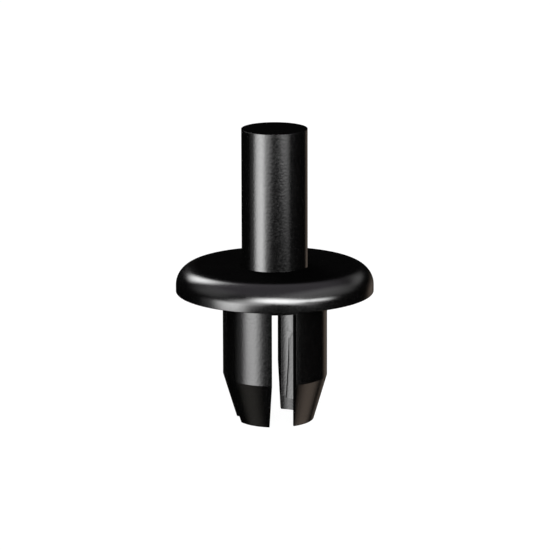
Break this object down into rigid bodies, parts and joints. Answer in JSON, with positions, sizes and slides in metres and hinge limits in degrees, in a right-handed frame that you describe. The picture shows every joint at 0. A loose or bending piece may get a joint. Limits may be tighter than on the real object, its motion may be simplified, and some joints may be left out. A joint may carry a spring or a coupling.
{
  "type": "plastic push rivet",
  "caption": "Flanged plastic rivet with a split, tapered shank and a straight pin that is pushed in to spread its legs.",
  "frame": {"origin": "centre of the flange's underside, on the rivet's axis", "axes": "+Z along the pin, away from the split shank; the four legs are centred on +X, +Y, -X and -Y, and the slots lie between them"},
  "size_m": [0.012, 0.012, 0.018],
  "materials": {
    "body_plastic": "black moulded nylon, satin with a fine grain",
    "pin_plastic": "black moulded nylon, satin with a fine grain"
  },
  "bodies": {
    "body": {"rivet_body": "body_plastic"},
    "pin": {"drive_pin": "pin_plastic"}
  },
  "joints": [
    {"name": "pin_drive", "type": "slide", "parent": "body", "child": "pin", "axis": [0, 0, -1], "range_m": [0, 0.0084], "deforming": ["rivet_body"]}
  ]
}
